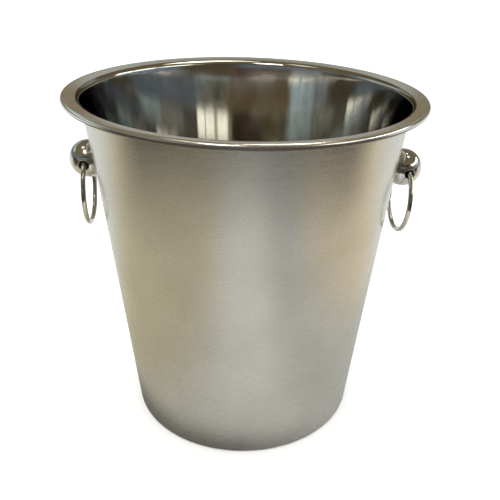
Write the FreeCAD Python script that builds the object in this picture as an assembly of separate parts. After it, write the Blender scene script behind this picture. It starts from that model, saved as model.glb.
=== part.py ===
import FreeCAD, Part
import math
import os

from FreeCAD import Placement, Rotation, Vector

# A drawn steel champagne bucket with a broad curled rim and two ring handles.
# Z is up, the origin is the centre of the foot, and the handles lie on the X axis.
# All lengths are in millimetres and all angles in degrees.

# Bucket shell
SHEET = 0.8                  # gauge of the steel
BASE_RADIUS = 76.35          # outside of the wall, carried down to the table
WALL_SLOPE = 0.1008          # growth of the radius for each millimetre of height
FLARE_HEIGHTS = (158.4, 194.6)    # the wall bends slightly outwards at these heights,
FLARE_STEP = 0.87            # by this angle at each
BASE_CORNER = 2.2            # mid-sheet radius between the foot and the wall
FOOT_WIDTH = 9.0             # flat standing ring inside the base corner
BASE_RECESS = 1.6            # height of the base panel above the table
RECESS_CORNER = 1.4          # mid-sheet radius of the step into the recess
RECESS_RUN = 2.0             # how far the step runs along the radius

# Rim
RIM_RADIUS = 110.0           # outside of the curled bead
BEAD_RADIUS = 1.8            # outer radius of the bead's section
BEAD_HEIGHT = 218.2          # height of the bead's centre
BEAD_WRAP = 255.0            # how far the sheet curls round
FLANGE_RISE = 9.0            # the flange climbs outwards at this angle
LIP_RADIUS = 3.0             # mid-sheet radius between the wall and the flange

# Handle knob: a hollow ball cap, crimped round a plate
KNOB_RADIUS = 12.0
KNOB_WALL = 1.0
KNOB_CENTRE_X = 100.7        # distance of the ball's centre from the bucket's axis
KNOB_CENTRE_Z = 173.6
PLATE_THICKNESS = 2.5
PLATE_PLAY = 0.03            # between the plate's edge and the ball's inside

# Ring handle and the pair of holes that it hangs in
RING_RADIUS = 22.0           # to the middle of the wire
WIRE_RADIUS = 1.6
HINGE_OUTWARD = 1.6          # hinge line from the ball's centre, away from the bucket
HINGE_DROP = 1.0             # and below it
HINGE_SKEW = 5.0             # the holes are drilled this far off the tangent
RING_DROP = 19.3             # from the hinge line to the ring's centre
RING_HOLE_RADIUS = 3.1
HOLE_LIP = 0.45              # rounding of the holes' outer edge
RIGHT_LEAN = 3.5             # the right ring rests this far in from the vertical

# Fixing of each knob: a rivet from inside the bucket, closed over the knob's plate
SHANK_RADIUS = 2.0
HEAD_RADIUS = 4.0            # thin flat head, inside the bucket
HEAD_HEIGHT = 0.7
HEAD_EDGE = 0.3              # rounding of the head's edge
HEAD_SEAT = 0.12             # the flat head bridges the hollow of the round wall
TAIL_RADIUS = 3.2            # closed end, inside the knob
TAIL_HEIGHT = 1.2
WALL_HOLE_RADIUS = 2.15
PLATE_HOLE_PLAY = 0.02       # between the shank and the plate

# Worked out from the above
WALL_TILT = math.degrees(math.atan(WALL_SLOPE))
BEAD_SPINE = RIM_RADIUS - BEAD_RADIUS
HALF_SHEET = SHEET / 2
X_AXIS = Vector(1, 0, 0)
Z_AXIS = Vector(0, 0, 1)
ORIGIN = Vector(0, 0, 0)


def unit(vector):
    return Vector(vector).normalize()


def left_of(direction):
    """The normal on the left of a direction in the XZ half plane."""
    return Vector(-direction.z, 0, direction.x)


def crossing(p, u, q, v):
    """Where the line through p along u meets the line through q along v."""
    gap = q - p
    reach = (gap.x * v.z - gap.z * v.x) / (u.x * v.z - u.z * v.x)
    return p + u * reach


def offset_corners(corners, distance):
    """The corners of a polyline moved to its left by a distance."""
    runs = [unit(b - a) for a, b in zip(corners, corners[1:])]
    moved = [corners[0] + left_of(runs[0]) * distance]
    for corner, before, after in zip(corners[1:], runs, runs[1:]):
        p = corner + left_of(before) * distance
        q = corner + left_of(after) * distance
        moved.append(crossing(p, before, q, after))
    moved.append(corners[-1] + left_of(runs[-1]) * distance)
    return moved


def rounded_edges(corners, radii, distance):
    """Edges of a rounded polyline, moved to its left by a distance; a radius of 0 is left sharp."""
    moved = offset_corners(corners, distance)
    edges = []
    start = moved[0]
    for i in range(1, len(moved) - 1):
        if radii[i - 1] == 0:
            edges.append(Part.LineSegment(start, moved[i]).toShape())
            start = moved[i]
            continue
        before = unit(moved[i] - moved[i - 1])
        after = unit(moved[i + 1] - moved[i])
        side = 1 if left_of(before).dot(after) > 0 else -1
        radius = radii[i - 1] - side * distance
        turn = before.getAngle(after)
        reach = radius * math.tan(turn / 2)
        enter = moved[i] - before * reach
        leave = moved[i] + after * reach
        centre = enter + left_of(before) * (side * radius)
        edges.append(Part.LineSegment(start, enter).toShape())
        edges.append(Part.Arc(enter, centre + unit(moved[i] - centre) * radius, leave).toShape())
        start = leave
    edges.append(Part.LineSegment(start, moved[-1]).toShape())
    return edges


def bead_point(angle, radius):
    """A point of the bead's section, by its angle above the outward level."""
    a = math.radians(angle)
    return Vector(BEAD_SPINE + radius * math.cos(a), 0, BEAD_HEIGHT + radius * math.sin(a))


def bead_edge(radius):
    start = 90.0 + FLANGE_RISE
    ends = [bead_point(start - part * BEAD_WRAP, radius) for part in (0.0, 0.5, 1.0)]
    return Part.Arc(*ends).toShape()


def wall_outside(height):
    """Outside radius of the wall at a height, and its tilt there."""
    radius = BASE_RADIUS
    tilt = WALL_TILT
    level = 0.0
    for bend in FLARE_HEIGHTS:
        if height > bend:
            radius += (bend - level) * math.tan(math.radians(tilt))
            tilt += FLARE_STEP
            level = bend
    return radius + (height - level) * math.tan(math.radians(tilt)), tilt


def wall_point(height):
    """Mid-sheet point of the wall at a height."""
    radius, tilt = wall_outside(height)
    return Vector(radius - HALF_SHEET / math.cos(math.radians(tilt)), 0, height)


def shell_corners():
    """Mid-sheet corners of the section, from the axis out to the bead, and their radii."""
    foot_end = wall_point(HALF_SHEET)
    foot_start = Vector(foot_end.x - BASE_CORNER - FOOT_WIDTH, 0, HALF_SHEET)
    panel_end = foot_start + Vector(-RECESS_RUN, 0, BASE_RECESS)
    centre = Vector(0, 0, panel_end.z)
    bead_start = bead_point(90.0 + FLANGE_RISE, BEAD_RADIUS - HALF_SHEET)
    rise = math.radians(FLANGE_RISE)
    flange = Vector(math.cos(rise), 0, math.sin(rise))
    flare = [wall_point(height) for height in FLARE_HEIGHTS]
    top_tilt = math.radians(WALL_TILT + FLARE_STEP * len(flare))
    lip = crossing(flare[-1], Vector(math.tan(top_tilt), 0, 1), bead_start, flange)
    corners = [centre, panel_end, foot_start, foot_end, *flare, lip, bead_start]
    radii = [RECESS_CORNER, RECESS_CORNER, BASE_CORNER, 0, 0, LIP_RADIUS]
    return corners, radii


def solid_of_revolution(edges):
    wire = Part.Wire(Part.__sortEdges__(edges))
    return Part.Face(wire).revolve(ORIGIN, Z_AXIS, 360)


def line(a, b):
    return Part.LineSegment(a, b).toShape()


def end_of(edge):
    return edge.Vertexes[-1].Point


def shell_blank():
    """The drawn and curled shell before its rivet holes are pierced."""
    corners, radii = shell_corners()
    inside = rounded_edges(corners, radii, HALF_SHEET)
    outside = rounded_edges(corners, radii, -HALF_SHEET)
    inside.append(bead_edge(BEAD_RADIUS))
    outside.append(bead_edge(BEAD_RADIUS - SHEET))
    curl_end = 90.0 + FLANGE_RISE - BEAD_WRAP
    ends = [
        line(bead_point(curl_end, BEAD_RADIUS), bead_point(curl_end, BEAD_RADIUS - SHEET)),
        line(inside[0].Vertexes[0].Point, outside[0].Vertexes[0].Point),
    ]
    return solid_of_revolution(inside + outside + ends)


def wall_core():
    """Everything inside the wall's outer face, for fitting the knobs to the wall."""
    corners, radii = shell_corners()
    outside = rounded_edges(corners, radii, -HALF_SHEET)[:-2]
    top = end_of(outside[-1])
    axis_top = Vector(0, 0, top.z)
    closing = [line(top, axis_top), line(axis_top, outside[0].Vertexes[0].Point)]
    return solid_of_revolution(outside + closing)


def knob_frame():
    """Frame of the right knob: its origin on the wall, its X axis square to the wall."""
    radius, wall_tilt = wall_outside(KNOB_CENTRE_Z)
    tilt = Rotation(Vector(0, 1, 0), wall_tilt)
    normal = tilt.multVec(X_AXIS)
    centre = Vector(KNOB_CENTRE_X, 0, KNOB_CENTRE_Z)
    wall = Vector(radius, 0, KNOB_CENTRE_Z)
    reach = (centre - wall).dot(normal)
    return Placement(centre - normal * reach, tilt), reach


def hinge_point():
    return Vector(KNOB_CENTRE_X + HINGE_OUTWARD, 0, KNOB_CENTRE_Z - HINGE_DROP)


def hinge_axis():
    """Along the right knob's holes; a positive turn lifts the ring away from the wall."""
    return Rotation(Z_AXIS, HINGE_SKEW).multVec(Vector(0, -1, 0))


def placed(shape, frame):
    copy = shape.copy()
    copy.Placement = frame.multiply(copy.Placement)
    return copy


def knob(frame, reach, core):
    """Hollow ball cap, cut to the wall, with a rounded hole at each side."""
    centre = frame.multVec(Vector(reach, 0, 0))
    cap = Part.makeSphere(KNOB_RADIUS, centre).cut(core)
    cap = cap.cut(Part.makeSphere(KNOB_RADIUS - KNOB_WALL, centre))
    start = hinge_point() - hinge_axis() * (2 * KNOB_RADIUS)
    drill = Part.makeCylinder(RING_HOLE_RADIUS, 4 * KNOB_RADIUS, start, hinge_axis())
    cap = cap.cut(drill)
    rims = [edge for edge in cap.Edges if not edge.Degenerated and is_hole_rim(edge, centre)]
    return cap.makeFillet(HOLE_LIP, rims)


def is_hole_rim(edge, centre):
    """True for the edges where the holes break through the ball's outer face."""
    points = edge.discretize(9)
    on_ball = all(abs((p - centre).Length - KNOB_RADIUS) < 0.01 for p in points)
    axis = hinge_axis()
    hinge = hinge_point()
    on_drill = all(abs((p - hinge).cross(axis).Length - RING_HOLE_RADIUS) < 0.01 for p in points)
    return on_ball and on_drill


def knob_plate(frame, reach, core):
    """Plate that the ball cap is crimped round; it bears on the wall and takes the rivet."""
    ball = Part.makeSphere(KNOB_RADIUS - KNOB_WALL - PLATE_PLAY, Vector(reach, 0, 0))
    slab = Part.makeCylinder(KNOB_RADIUS, 2 * PLATE_THICKNESS, Vector(-PLATE_THICKNESS, 0, 0), X_AXIS)
    hole = Part.makeCylinder(SHANK_RADIUS + PLATE_HOLE_PLAY, 4 * PLATE_THICKNESS,
                             Vector(-2 * PLATE_THICKNESS, 0, 0), X_AXIS)
    plate = ball.common(slab).cut(hole)
    return placed(plate, frame).cut(core)


def rivet():
    """Flat-headed rivet through the wall and the plate, with a domed closed end."""
    bearing = -SHEET - HEAD_SEAT
    tail = PLATE_THICKNESS + PLATE_HOLE_PLAY
    head = Part.makeCylinder(HEAD_RADIUS, HEAD_HEIGHT, Vector(bearing - HEAD_HEIGHT, 0, 0), X_AXIS)
    face, = [edge for edge in head.Edges if abs(edge.CenterOfMass.x - bearing + HEAD_HEIGHT) < 0.01]
    head = head.makeFillet(HEAD_EDGE, [face])
    shank = Part.makeCylinder(SHANK_RADIUS, tail - bearing, Vector(bearing, 0, 0), X_AXIS)
    dome_radius = (TAIL_RADIUS ** 2 + TAIL_HEIGHT ** 2) / (2 * TAIL_HEIGHT)
    dome = Part.makeSphere(dome_radius, Vector(tail + TAIL_HEIGHT - dome_radius, 0, 0))
    closed = dome.common(Part.makeCylinder(TAIL_RADIUS, TAIL_HEIGHT, Vector(tail, 0, 0), X_AXIS))
    return head.fuse([shank, closed]).removeSplitter()


def ring(lean):
    """Closed wire ring, hanging in the knob's two holes, leaning in by an angle."""
    centre = hinge_point() - Vector(0, 0, RING_DROP)
    face = Rotation(Z_AXIS, HINGE_SKEW).multVec(X_AXIS)
    hoop = Part.makeTorus(RING_RADIUS, WIRE_RADIUS, centre, face)
    hoop.rotate(hinge_point(), hinge_axis(), -lean)
    return hoop


def handle(core, lean):
    """The separate pieces of the right-hand handle, by name."""
    frame, reach = knob_frame()
    return {
        "knob": knob(frame, reach, core),
        "knob_plate": knob_plate(frame, reach, core),
        "knob_rivet": placed(rivet(), frame),
        "ring": ring(lean),
    }


def wall_hole():
    frame, _ = knob_frame()
    drill = Part.makeCylinder(WALL_HOLE_RADIUS, 8 * SHEET, Vector(-4 * SHEET, 0, 0), X_AXIS)
    return placed(drill, frame)


def turned(shape, angle):
    copy = shape.copy()
    copy.rotate(ORIGIN, Z_AXIS, angle)
    return copy


def build():
    core = wall_core()
    shell = shell_blank()
    nodes = {}
    for side, angle, lean in (("right", 0, RIGHT_LEAN), ("left", 180, 0.0)):
        shell = shell.cut(turned(wall_hole(), angle))
        for name, shape in handle(core, lean).items():
            nodes[side + "_" + name] = turned(shape, angle)
    nodes["bucket_shell"] = shell
    return nodes


def export(nodes):
    os.makedirs("parts", exist_ok=True)
    for name, shape in nodes.items():
        solid, = shape.Solids
        solid.exportStep(os.path.join("parts", name + ".step"))
        print(name, "valid", solid.isValid(), "volume", round(solid.Volume, 1))
    print("right hinge at", hinge_point(), "along", hinge_axis())


export(build())
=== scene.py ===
import math

import bpy
from mathutils import Matrix, Vector, noise


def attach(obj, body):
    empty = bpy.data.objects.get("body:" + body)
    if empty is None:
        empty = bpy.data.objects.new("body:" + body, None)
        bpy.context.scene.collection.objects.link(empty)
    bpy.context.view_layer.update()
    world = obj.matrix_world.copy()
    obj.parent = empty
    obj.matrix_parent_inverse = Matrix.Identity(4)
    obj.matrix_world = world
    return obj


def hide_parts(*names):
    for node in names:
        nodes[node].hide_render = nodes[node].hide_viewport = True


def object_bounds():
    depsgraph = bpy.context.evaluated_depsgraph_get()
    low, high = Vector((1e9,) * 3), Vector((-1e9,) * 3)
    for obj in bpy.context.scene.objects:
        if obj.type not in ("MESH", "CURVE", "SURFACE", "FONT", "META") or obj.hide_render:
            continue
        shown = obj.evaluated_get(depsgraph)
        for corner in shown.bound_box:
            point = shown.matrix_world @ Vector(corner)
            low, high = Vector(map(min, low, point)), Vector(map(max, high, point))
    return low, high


# Looks of a drawn steel champagne bucket with two ring handles.
# Lengths are in metres, and angles in degrees unless a name says otherwise.
# Azimuth is 0 towards the viewer (-Y) and 90 towards +X. Colours are linear.

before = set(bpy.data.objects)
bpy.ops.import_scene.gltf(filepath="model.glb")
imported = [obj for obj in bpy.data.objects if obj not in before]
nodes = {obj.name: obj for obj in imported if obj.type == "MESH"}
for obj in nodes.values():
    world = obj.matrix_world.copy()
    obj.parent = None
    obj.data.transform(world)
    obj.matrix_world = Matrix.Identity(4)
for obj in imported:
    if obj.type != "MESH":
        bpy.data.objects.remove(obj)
cad_low, cad_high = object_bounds()

MM = 0.001

# Shell section: the CAD shell's, with the two slight bends of its flare drawn as one slow curve
SHEET = 0.8 * MM
BASE_RADIUS = 76.35 * MM
WALL_SLOPE = 0.1008
FLARE_HEIGHT = 176.5 * MM
FLARE_TILT = 1.74
FLARE_RADIUS = 2400 * MM
BASE_CORNER = 2.2 * MM
FOOT_WIDTH = 9.0 * MM
BASE_RECESS = 1.6 * MM
RECESS_CORNER = 1.4 * MM
RECESS_RUN = 2.0 * MM
RIM_RADIUS = cad_high.y
BEAD_RADIUS = 1.8 * MM
BEAD_HEIGHT = cad_high.z - BEAD_RADIUS
BEAD_WRAP = 255
FLANGE_RISE = 9
LIP_RADIUS = 3.0 * MM
WALL_TILT = math.degrees(math.atan(WALL_SLOPE))

# Fineness of the shell's mesh
TURNS = 320
WALL_ROW = 4 * MM
ARC_STEP = 7
SHARP_ANGLE = 40

# Slow waves in the drawn sheet of the wall, longer up it than round it, which die out near its ends
WAVE_DEPTH = 0.03 * MM
WAVE_LENGTH = 45 * MM
WAVE_STRETCH = 8
WAVE_LOW = 8 * MM
WAVE_HIGH = 208 * MM
WAVE_FADE = 20 * MM

# Rivet holes, on the lines through the middles of the knobs
HOLE_RADIUS = 2.15 * MM
HOLE_SIDES = 48
CUTTER_LENGTH = 20 * SHEET
KNOB_CENTRE = Vector((100.7, 0, 173.6)) * MM
KNOB_TILT = WALL_TILT + FLARE_TILT / 2


# ---------------------------------------------------------------- small helpers

def direction(azimuth, elevation):
    """Unit vector towards an azimuth and elevation."""
    a = math.radians(azimuth)
    e = math.radians(elevation)
    return Vector((math.sin(a) * math.cos(e), -math.cos(a) * math.cos(e), math.sin(e)))


def new_object(name, data):
    made = bpy.data.objects.new(name, data)
    bpy.context.scene.collection.objects.link(made)
    return made


# ---------------------------------------------------------------- shell

def left_of(run):
    """The direction a quarter turn to the left."""
    return Vector((-run.y, run.x))


def crossing(p, u, q, v):
    """Where the line through p along u meets the line through q along v."""
    gap = q - p
    return p + u * ((gap.x * v.y - gap.y * v.x) / (u.x * v.y - u.y * v.x))


def bead_point(angle, radius):
    """Point round the bead's centre; the angle is 0 outwards and 90 up."""
    a = math.radians(angle)
    return Vector((RIM_RADIUS - BEAD_RADIUS + radius * math.cos(a), BEAD_HEIGHT + radius * math.sin(a)))


def wall_point(height):
    """Mid-sheet point of the wall, as (radius, height)."""
    half = SHEET / 2 / math.cos(math.radians(WALL_TILT))
    return Vector((BASE_RADIUS + WALL_SLOPE * height - half, height))


def section_corners():
    """Mid-sheet corners from the axis to the bead, and the radius at each inner one."""
    foot_end = wall_point(SHEET / 2)
    foot_start = Vector((foot_end.x - BASE_CORNER - FOOT_WIDTH, SHEET / 2))
    panel_end = foot_start + Vector((-RECESS_RUN, BASE_RECESS))
    bead_start = bead_point(90 + FLANGE_RISE, BEAD_RADIUS - SHEET / 2)
    rise = math.radians(FLANGE_RISE)
    flange = Vector((math.cos(rise), math.sin(rise)))
    flare = wall_point(FLARE_HEIGHT)
    top_tilt = math.radians(WALL_TILT + FLARE_TILT)
    lip = crossing(flare, Vector((math.tan(top_tilt), 1)), bead_start, flange)
    corners = [Vector((0, panel_end.y)), panel_end, foot_start, foot_end, flare, lip, bead_start]
    return corners, [RECESS_CORNER, RECESS_CORNER, BASE_CORNER, FLARE_RADIUS, LIP_RADIUS]


def straight(a, b, row):
    """Points from a towards b, without b, with their normal."""
    run = (b - a).normalized()
    count = max(1, round((b - a).length / row))
    return [(a.lerp(b, i / count), left_of(run)) for i in range(count)]


def arc(enter, before, turn, radius):
    """Points round an arc that starts at enter along before; turn is positive to the left."""
    side = math.copysign(1, turn)
    centre = enter + left_of(before) * (side * radius)
    count = max(3, round(abs(turn) / ARC_STEP), round(radius * math.radians(abs(turn)) / WALL_ROW))
    points = []
    for i in range(count):
        a = math.radians(turn * i / count)
        run = Vector((before.x * math.cos(a) - before.y * math.sin(a),
                      before.x * math.sin(a) + before.y * math.cos(a)))
        points.append((centre - left_of(run) * (side * radius), left_of(run)))
    return points


def section():
    """Mid-sheet points of the whole section, each with its normal and the number of its run."""
    corners, radii = section_corners()
    rows = []
    start = corners[0]
    for i, radius in enumerate(radii):
        before = (corners[i + 1] - corners[i]).normalized()
        after = (corners[i + 2] - corners[i + 1]).normalized()
        turn = math.degrees(math.atan2(before.x * after.y - before.y * after.x, before.dot(after)))
        reach = radius * math.tan(math.radians(abs(turn)) / 2)
        enter = corners[i + 1] - before * reach
        rows += [(p, n, 2 * i) for p, n in straight(start, enter, WALL_ROW)]
        rows += [(p, n, 2 * i + 1) for p, n in arc(enter, before, turn, radius)]
        start = corners[i + 1] + after * reach
    last = 2 * len(radii)
    rows += [(p, n, last) for p, n in straight(start, corners[-1], WALL_ROW)]
    rows += [(p, n, last + 1) for p, n in arc(corners[-1], after, -BEAD_WRAP, BEAD_RADIUS - SHEET / 2)]
    end = 90 + FLANGE_RISE - BEAD_WRAP
    a = math.radians(end)
    rows.append((bead_point(end, BEAD_RADIUS - SHEET / 2), Vector((math.cos(a), math.sin(a))), last + 1))
    return rows


# Runs of the section, counted from the axis: the straight ones are even and the corners odd
BASE_CORNER_RUN = 5
WALL_RUNS = (6, 7, 8)
LIP_RUN = 9
INSIDE, RIM, OUTSIDE, UNDER = range(4)


def finish_of(run, inside):
    """Which of the shell's materials a run of the section has."""
    if run > LIP_RUN:
        return RIM
    if inside:
        return INSIDE
    return OUTSIDE if run >= BASE_CORNER_RUN else UNDER


def sheet_wave(radians, height):
    """Small outward shift of the wall at a place round it and up it."""
    fade = min(1, max(0, min(height - WAVE_LOW, WAVE_HIGH - height) / WAVE_FADE))
    place = Vector((math.sin(radians), math.cos(radians), 0)) * (RIM_RADIUS / WAVE_LENGTH)
    place.z = height / (WAVE_STRETCH * WAVE_LENGTH)
    return WAVE_DEPTH * noise.noise(place) * fade


def lathe(name, loop, finishes):
    """Loop of (radius, height, waves) points turned round Z; it starts and ends on the axis."""
    vertices = [(0, 0, loop[0][1])]
    for radius, height, waves in loop[1:-1]:
        for t in range(TURNS):
            a = 2 * math.pi * t / TURNS
            r = radius + (sheet_wave(a, height) if waves else 0)
            vertices.append((r * math.sin(a), -r * math.cos(a), height))
    vertices.append((0, 0, loop[-1][1]))
    last = len(vertices) - 1
    faces = []
    looks = []
    for t in range(TURNS):
        u = (t + 1) % TURNS
        faces.append((0, 1 + t, 1 + u))
        looks.append(finishes[0])
        for row in range(len(loop) - 3):
            a = 1 + row * TURNS
            b = a + TURNS
            faces.append((a + t, b + t, b + u, a + u))
            looks.append(finishes[row + 1])
        a = 1 + (len(loop) - 3) * TURNS
        faces.append((a + t, last, a + u))
        looks.append(finishes[-1])
    mesh = bpy.data.meshes.new(name)
    mesh.from_pydata(vertices, [], faces)
    mesh.polygons.foreach_set("material_index", looks)
    return mesh


def drill(shell):
    """Pierces the wall for each knob's rivet."""
    for side in (-1, 1):
        place = Vector((side * KNOB_CENTRE.x, 0, KNOB_CENTRE.z))
        turned = (0, math.radians(90 + side * KNOB_TILT), 0)
        bpy.ops.mesh.primitive_cylinder_add(vertices=HOLE_SIDES, radius=HOLE_RADIUS, depth=CUTTER_LENGTH,
                                            location=place, rotation=turned)
        cutter = bpy.context.object
        cut = shell.modifiers.new("rivet hole", "BOOLEAN")
        cut.object = cutter
        cut.solver = "EXACT"
        graph = bpy.context.evaluated_depsgraph_get()
        pierced = bpy.data.meshes.new_from_object(shell.evaluated_get(graph))
        shell.modifiers.clear()
        shell.data = pierced
        bpy.data.objects.remove(cutter)


def make_shell(materials):
    """The shell as one turned sheet; the materials are in the order of its finishes."""
    rows = section()
    half = SHEET / 2
    inside = [(p + n * half, run, True) for p, n, run in rows]
    outside = [(p - n * half, run, False) for p, n, run in reversed(rows)]
    loop = []
    finishes = []
    for point, run, is_inside in inside + outside:
        loop.append((max(0, point.x), point.y, run in WALL_RUNS))
        finishes.append(finish_of(run, is_inside))
    shell = new_object("shell", lathe("shell", loop, finishes))
    for material in materials:
        shell.data.materials.append(material)
    drill(shell)
    shell.data.shade_smooth()
    shell.data.set_sharp_from_angle(angle=math.radians(SHARP_ANGLE))
    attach(shell, "bucket")
    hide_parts("bucket_shell")


# ---------------------------------------------------------------- materials

# Brushing lines, as noise cells round the bucket and per metre of its height
FINE_LINES = (14, 5200)
BROAD_LINES = (3, 900)
FINE_SHARE = 0.6

# Larger patches of duller and brighter steel, and how much of the colour follows them
PATCH_SCALE = 26.0
PATCH_SHARE = 0.55

# Wiped smears on polished steel, which also makes it rougher by this much
SMEAR_SCALE = 60.0
SMEAR_ROUGHER = 1.6

# Half the spread of roughness between brushing lines
LINE_ROUGHNESS = 0.04

# Painted shade on the underside of the bead: a dark colour that stands in for the dark line the bead's
# underside mirrors
BEAD_PAINTED_SHADE = (0.10, 0.085, 0.07)
BEAD_PAINTED_SHADE_EDGE = 0.3 * MM

QUARTER_TURN = 0.25


def add(tree, kind, inputs=None, **settings):
    """A new node, with its settings and its inputs given as values or as sockets to link."""
    made = tree.nodes.new(kind)
    for name, value in settings.items():
        setattr(made, name, value)
    for key, value in (inputs or {}).items():
        if isinstance(value, bpy.types.NodeSocket):
            tree.links.new(value, made.inputs[key])
        else:
            made.inputs[key].default_value = value
    return made


def maths(tree, operation, a, b=0.0, c=0.0):
    """Result of a sum on values or sockets."""
    return add(tree, "ShaderNodeMath", {0: a, 1: b, 2: c}, operation=operation).outputs[0]


def weighted(tree, a, b, share):
    """A share of one value and the rest of another."""
    return maths(tree, "ADD", maths(tree, "MULTIPLY", a, share), maths(tree, "MULTIPLY", b, 1 - share))


def ranged(tree, value, low, high, start=0.0, end=1.0, smooth=False):
    """The value moved from the range low to high onto the range start to end, and held at its ends."""
    kind = "SMOOTHSTEP" if smooth else "LINEAR"
    inputs = {"Value": value, "From Min": low, "From Max": high, "To Min": start, "To Max": end}
    return add(tree, "ShaderNodeMapRange", inputs, interpolation_type=kind).outputs["Result"]


def blended(tree, amount, under, over):
    """Mix of two colours, each of them plain or a socket."""
    under, over = (c if isinstance(c, bpy.types.NodeSocket) else (*c, 1) for c in (under, over))
    inputs = {"Factor": amount, 6: under, 7: over}
    return add(tree, "ShaderNodeMix", inputs, data_type="RGBA").outputs[2]


def object_place(tree):
    return add(tree, "ShaderNodeTexCoord").outputs["Object"]


def noise_at(tree, place, scale, detail=2.0):
    inputs = {"Vector": place, "Scale": scale, "Detail": detail}
    return add(tree, "ShaderNodeTexNoise", inputs).outputs["Fac"]


def round_place(tree, along, up):
    """Coordinates for lines that run round the bucket: stretched along its girth."""
    split = add(tree, "ShaderNodeSeparateXYZ", {0: object_place(tree)})
    flat = add(tree, "ShaderNodeCombineXYZ", {"X": split.outputs["X"], "Y": split.outputs["Y"]})
    ring = add(tree, "ShaderNodeVectorMath", {0: flat.outputs[0]}, operation="NORMALIZE").outputs[0]
    ring = add(tree, "ShaderNodeVectorMath", {0: ring, "Scale": along}, operation="SCALE").outputs[0]
    height = maths(tree, "MULTIPLY", split.outputs["Z"], up)
    lift = add(tree, "ShaderNodeCombineXYZ", {"Z": height})
    return add(tree, "ShaderNodeVectorMath", {0: ring, 1: lift.outputs[0]}, operation="ADD").outputs[0]


def metal(name, **settings):
    """A metal material and its tree; the settings go on the shader's own sockets."""
    material = bpy.data.materials.new(name)
    material.use_nodes = True
    tree = material.node_tree
    shader = tree.nodes["Principled BSDF"]
    shader.inputs["Metallic"].default_value = 1
    for key, value in settings.items():
        shader.inputs[key.replace("_", " ")].default_value = value
    return material, tree, shader


def bumped(tree, shader, height, distance):
    made = add(tree, "ShaderNodeBump", {"Height": height, "Distance": distance, "Strength": 1.0})
    tree.links.new(made.outputs[0], shader.inputs["Normal"])


def drawn_up(tree, shader, amount):
    """Draws reflections out up and down, as brushing round the bucket does."""
    shader.inputs["Anisotropic"].default_value = amount
    shader.inputs["Anisotropic Rotation"].default_value = QUARTER_TURN
    tangent = add(tree, "ShaderNodeTangent", direction_type="RADIAL", axis="Z").outputs[0]
    tree.links.new(tangent, shader.inputs["Tangent"])


def brushed_steel(name, dark, light, roughness, drawn, line_depth, painted_shade_below=None):
    """Steel with fine lines brushed round the bucket; below a height its colour may be darkened as
    painted shade.
    """
    material, tree, shader = metal(name, Coat_Weight=0.25, Coat_Roughness=0.04)
    fine = noise_at(tree, round_place(tree, *FINE_LINES), 1.0)
    broad = noise_at(tree, round_place(tree, *BROAD_LINES), 1.0)
    patches = noise_at(tree, object_place(tree), PATCH_SCALE, 3.0)
    lines = weighted(tree, fine, broad, FINE_SHARE)
    shade = weighted(tree, patches, lines, PATCH_SHARE)
    colour = blended(tree, ranged(tree, shade, 0.35, 0.65), dark, light)
    # Painted shade: below the given height the colour darkens, standing in for the dark reflection under
    # the bead
    if painted_shade_below is not None:
        height = add(tree, "ShaderNodeSeparateXYZ", {0: object_place(tree)}).outputs["Z"]
        start, full = painted_shade_below + BEAD_PAINTED_SHADE_EDGE, painted_shade_below - BEAD_PAINTED_SHADE_EDGE
        colour = blended(tree, ranged(tree, height, start, full, smooth=True), colour, BEAD_PAINTED_SHADE)
    tree.links.new(colour, shader.inputs["Base Color"])
    rough = ranged(tree, lines, 0.3, 0.7, roughness - LINE_ROUGHNESS, roughness + LINE_ROUGHNESS)
    tree.links.new(rough, shader.inputs["Roughness"])
    drawn_up(tree, shader, drawn)
    bumped(tree, shader, lines, line_depth)
    return material


def polished_steel(name, dark, light, roughness, wave_depth, wave_scale):
    """Polished steel with faint smears and a slightly wavy surface."""
    material, tree, shader = metal(name)
    coords = object_place(tree)
    smears = noise_at(tree, coords, SMEAR_SCALE, 4.0)
    waves = noise_at(tree, coords, wave_scale, 1.0)
    colour = blended(tree, ranged(tree, smears, 0.35, 0.65), dark, light)
    tree.links.new(colour, shader.inputs["Base Color"])
    rough = ranged(tree, smears, 0.4, 0.75, roughness, roughness * SMEAR_ROUGHER)
    tree.links.new(rough, shader.inputs["Roughness"])
    bumped(tree, shader, waves, wave_depth)
    return material


def mirror_inside():
    """The polished inside: darker at grazing angles, its reflections drawn up and down."""
    dark, light = (0.62, 0.61, 0.585), (0.70, 0.69, 0.67)
    material = polished_steel("inside steel", dark, light, 0.05, 0.004 * MM, 25.0)
    tree = material.node_tree
    shader = tree.nodes["Principled BSDF"]
    shader.inputs["Specular Tint"].default_value = (0.22, 0.22, 0.24, 1)
    drawn_up(tree, shader, 1.0)
    return material


# ---------------------------------------------------------------- stage

# What only the steel's reflections see round the bucket: soft-edged areas of a plain room.
# A level is the elevation of its middle and half its height.
LOW, MIDDLE, HIGH, TOP = (0.5, 5.5), (11.5, 6.5), (23.0, 5.2), (68.0, 6.0)
WINDOW = (23.3, 4.6)
LEVEL_EDGE = 0.7
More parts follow.
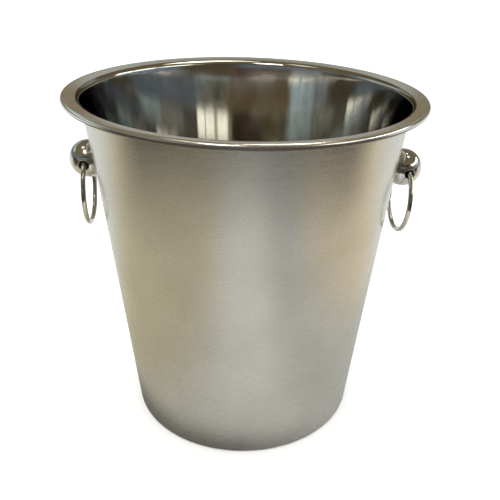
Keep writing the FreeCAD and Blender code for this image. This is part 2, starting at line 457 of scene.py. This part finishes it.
# Each area: name, middle azimuth, half width, level, side edge, colour
ROOM = [
    ("low back", 180, 80, LOW, 12, (0.45, 0.44, 0.40)),
    ("low warm", 0, 30, LOW, 8, (0.11, 0.07, 0.04)),
    ("low viewer", -2, 12, LOW, 3, (0.07, 0.025, 0.015)),
    ("low door", -46, 12, LOW, 4, (0.24, 0.26, 0.25)),
    ("low blue", 82, 26, LOW, 10, (0.18, 0.21, 0.27)),
    ("middle rear", 180, 62, MIDDLE, 8, (0.17, 0.125, 0.06)),
    ("middle fold", -133, 5, MIDDLE, 3, (0.11, 0.10, 0.06)),
    ("middle grey", -112, 14, MIDDLE, 6, (0.19, 0.19, 0.15)),
    ("middle blue", -45, 58, MIDDLE, 8, (0.145, 0.175, 0.20)),
    ("middle brown", 35, 26, MIDDLE, 12, (0.09, 0.075, 0.045)),
    ("middle side", 68, 12, MIDDLE, 4, (0.20, 0.22, 0.24)),
    ("middle curtain", 96, 19, MIDDLE, 3, (0.36, 0.46, 0.49)),
    ("middle light", 105, 8, MIDDLE, 4, (0.47, 0.60, 0.66)),
    ("high left", -150, 63, HIGH, 10, (0.25, 0.30, 0.28)),
    ("high rear", 178, 28, HIGH, 12, (0.38, 0.38, 0.34)),
    ("high side", 137, 17, HIGH, 6, (0.18, 0.18, 0.15)),
    ("high curtain", -124, 27, HIGH, 4, (0.53, 0.68, 0.69)),
    ("high fold", -113, 7, HIGH, 3, (0.65, 0.80, 0.82)),
    ("high front", -55, 32, HIGH, 6, (0.165, 0.14, 0.065)),
    ("high viewer", 0, 30, HIGH, 9, (0.05, 0.022, 0.010)),
    ("window", 81, 39, WINDOW, 2, (3.6, 3.6, 3.1)),
    ("window post", 43, 5, HIGH, 4, (0.55, 0.58, 0.38)),
    ("window bar", 76, 4, HIGH, 3, (1.2, 1.2, 1.0)),
    ("window line", 101, 1, HIGH, 1, (0.5, 0.5, 0.4)),
    ("left lamp", -80, 14, TOP, 6, (1.9, 1.8, 1.6)),
    ("right lamp", 80, 14, TOP, 6, (1.9, 1.8, 1.6)),
]
# The room between the areas, which lightens upwards between two elevations
ROOM_LOW = (0.07, 0.058, 0.036)
ROOM_HIGH = (0.16, 0.13, 0.08)
ROOM_RISE = (20, 32)
# The plain white light that everything else sees
PLAIN_LIGHT = 1.65


def patch(tree, azimuth, elevation, under, row):
    """Lays one soft-edged area of the room over the colour under it."""
    name, middle, half, (level, tall), edge, colour = row
    across = maths(tree, "SUBTRACT", azimuth, middle)
    across = maths(tree, "ABSOLUTE", maths(tree, "WRAP", across, 180.0, -180.0))
    up = maths(tree, "ABSOLUTE", maths(tree, "SUBTRACT", elevation, level))
    inside = ranged(tree, across, half + edge, half - edge, smooth=True)
    inside = maths(tree, "MULTIPLY", inside, ranged(tree, up, tall + LEVEL_EDGE, tall - LEVEL_EDGE))
    laid = blended(tree, inside, under, colour)
    laid.node.label = name
    return laid


def make_world():
    """Even white light, and a plain dim room for the steel to mirror."""
    world = bpy.data.worlds.new("studio")
    bpy.context.scene.world = world
    world.use_nodes = True
    tree = world.node_tree
    tree.nodes.clear()
    way = add(tree, "ShaderNodeSeparateXYZ", {0: add(tree, "ShaderNodeTexCoord").outputs["Generated"]})
    azimuth = maths(tree, "ARCTAN2", way.outputs["X"], maths(tree, "MULTIPLY", way.outputs["Y"], -1))
    azimuth = maths(tree, "DEGREES", azimuth)
    elevation = maths(tree, "DEGREES", maths(tree, "ARCSINE", way.outputs["Z"]))
    colour = blended(tree, ranged(tree, elevation, *ROOM_RISE), ROOM_LOW, ROOM_HIGH)
    for row in ROOM:
        colour = patch(tree, azimuth, elevation, colour, row)
    mirrored = add(tree, "ShaderNodeBackground", {"Color": colour})
    plain = add(tree, "ShaderNodeBackground", {"Color": (1, 1, 1, 1), "Strength": PLAIN_LIGHT})
    ray = add(tree, "ShaderNodeLightPath").outputs["Is Glossy Ray"]
    both = add(tree, "ShaderNodeMixShader", {0: ray, 1: plain.outputs[0], 2: mirrored.outputs[0]})
    add(tree, "ShaderNodeOutputWorld", {"Surface": both.outputs[0]})


# The floor as the camera sees it
FLOOR = (0.92, 0.92, 0.915)
FLOOR_HALF = 6.0

# The duller table that the steel mirrors there, from the left, and what is laid over it
TABLE_LEFT = (0.35, 0.32, 0.225)
# Each layer: axis, where it begins, where it is full, colour
TABLE_LAYERS = [
    ("X", -0.15, -0.01, (0.475, 0.475, 0.455)),
    ("X", 0.03, 0.12, (0.35, 0.355, 0.34)),
    ("X", 0.14, 0.26, (0.48, 0.42, 0.31)),
    ("Y", 0.0, 0.25, (0.47, 0.475, 0.46)),
]
# Dark beyond the table's front edge, by distance from the bucket's axis and by Y
TABLE_EDGE = (0.035, 0.03, 0.025)
EDGE_REACH = (0.36, 0.40)
EDGE_FRONT = (0.05, -0.15)
# Shade round the foot, by distance and by X
TABLE_SHADE = (0.16, 0.155, 0.14)
SHADE_REACH = (0.100, 0.080)
SHADE_LEFT = (0.07, 0.0)


def table_colour(tree):
    """Colour of the table that only reflections see."""
    coords = object_place(tree)
    place = add(tree, "ShaderNodeSeparateXYZ", {0: coords}).outputs
    away = add(tree, "ShaderNodeVectorMath", {0: coords}, operation="LENGTH").outputs["Value"]
    colour = TABLE_LEFT
    for axis, begins, full, over in TABLE_LAYERS:
        colour = blended(tree, ranged(tree, place[axis], begins, full, smooth=True), colour, over)
    beyond = ranged(tree, away, *EDGE_REACH, smooth=True)
    beyond = maths(tree, "MULTIPLY", beyond, ranged(tree, place["Y"], *EDGE_FRONT))
    colour = blended(tree, beyond, colour, TABLE_EDGE)
    near = ranged(tree, away, *SHADE_REACH, smooth=True)
    near = maths(tree, "MULTIPLY", near, ranged(tree, place["X"], *SHADE_LEFT))
    return blended(tree, near, colour, TABLE_SHADE)


def make_floor():
    """Plain pale floor, which the steel mirrors as a duller table."""
    corners = [(x * FLOOR_HALF, y * FLOOR_HALF, 0) for x, y in ((-1, -1), (1, -1), (1, 1), (-1, 1))]
    mesh = bpy.data.meshes.new("floor")
    mesh.from_pydata(corners, [], [(0, 1, 2, 3)])
    floor = new_object("floor", mesh)
    material = bpy.data.materials.new("floor")
    material.use_nodes = True
    tree = material.node_tree
    shader = tree.nodes["Principled BSDF"]
    shader.inputs["Roughness"].default_value = 0.9
    shader.inputs["Specular IOR Level"].default_value = 0
    ray = add(tree, "ShaderNodeLightPath").outputs["Is Glossy Ray"]
    tree.links.new(blended(tree, ray, FLOOR, table_colour(tree)), shader.inputs["Base Color"])
    mesh.materials.append(material)


LAMP_DISTANCE = 1.6
LAMP_TARGET = Vector((0, 0, 0.12))
LAMP_COLOUR = (1, 0.93, 0.8)


def make_lamp(name, azimuth, elevation, size, power):
    """A square soft lamp that faces the bucket."""
    light = bpy.data.lights.new(name, "AREA")
    light.size = size
    light.energy = power
    light.color = LAMP_COLOUR
    lamp = new_object(name, light)
    lamp.location = LAMP_TARGET + direction(azimuth, elevation) * LAMP_DISTANCE
    lamp.rotation_mode = "QUATERNION"
    lamp.rotation_quaternion = (LAMP_TARGET - lamp.location).to_track_quat("-Z", "Y")


# The camera's place round the bucket, its turn left or right, down and about its own axis, and its lens
CAMERA_DISTANCE = 0.3959
CAMERA_AZIMUTH = 1.02
CAMERA_HEIGHT = 0.3101
CAMERA_HEADING = 2.18
CAMERA_DIP = 26.95
CAMERA_ROLL = -2.34
CAMERA_LENS = 46.43
CAMERA_SHIFT = (-0.0555, 0.0064)


def make_camera():
    heading, dip, roll = (math.radians(a) for a in (CAMERA_HEADING, CAMERA_DIP, CAMERA_ROLL))
    flat = math.cos(dip)
    ahead = Vector((math.sin(heading) * flat, math.cos(heading) * flat, -math.sin(dip)))
    level = Vector((math.cos(heading), -math.sin(heading), 0))
    down = ahead.cross(level)
    right = level * math.cos(roll) + down * math.sin(roll)
    up = level * math.sin(roll) - down * math.cos(roll)
    place = direction(CAMERA_AZIMUTH, 0) * CAMERA_DISTANCE
    place.z = CAMERA_HEIGHT
    data = bpy.data.cameras.new("camera")
    data.lens = CAMERA_LENS
    data.shift_x, data.shift_y = CAMERA_SHIFT
    camera = new_object("camera", data)
    columns = Matrix((right, up, -ahead)).transposed()
    camera.matrix_world = Matrix.Translation(place) @ columns.to_4x4()
    bpy.context.scene.camera = camera


# ---------------------------------------------------------------- build

make_camera()
make_world()
make_floor()
make_lamp("overhead lamp", 150, 72, 0.5, 4)
make_lamp("front lamp", -20, 55, 0.45, 3.5)
bpy.context.scene.view_settings.view_transform = "Standard"

# Each steel: name, darker and lighter colour, roughness, then how far reflections are drawn up and the
# depth of the brushing lines, or the depth of the surface's waves and their scale
# Height below which the rim steel's colour is darkened as painted shade on the bead's underside
BEAD_UNDERSIDE = BEAD_HEIGHT - 0.1 * BEAD_RADIUS
rim_steel = brushed_steel("rim steel", (0.84, 0.84, 0.81), (0.93, 0.93, 0.91), 0.2, 0.4, 0.003 * MM,
                          BEAD_UNDERSIDE)
wall_steel = brushed_steel("wall steel", (0.58, 0.57, 0.53), (0.68, 0.67, 0.635), 0.28, 0.65, 0.01 * MM)
under_steel = brushed_steel("under steel", (0.50, 0.49, 0.47), (0.60, 0.59, 0.57), 0.40, 0.3, 0.01 * MM)
knob_steel = polished_steel("knob steel", (0.68, 0.67, 0.65), (0.78, 0.77, 0.75), 0.11, 0.01 * MM, 90.0)
fixing_steel = polished_steel("fixing steel", (0.52, 0.52, 0.52), (0.66, 0.66, 0.66), 0.25, 0.01 * MM,
                              400.0)

make_shell([mirror_inside(), rim_steel, wall_steel, under_steel])
for node_name, node in nodes.items():
    if node_name == "bucket_shell":
        continue
    node.data.materials.clear()
    node.data.materials.append(fixing_steel if node_name.endswith("plate") else knob_steel)
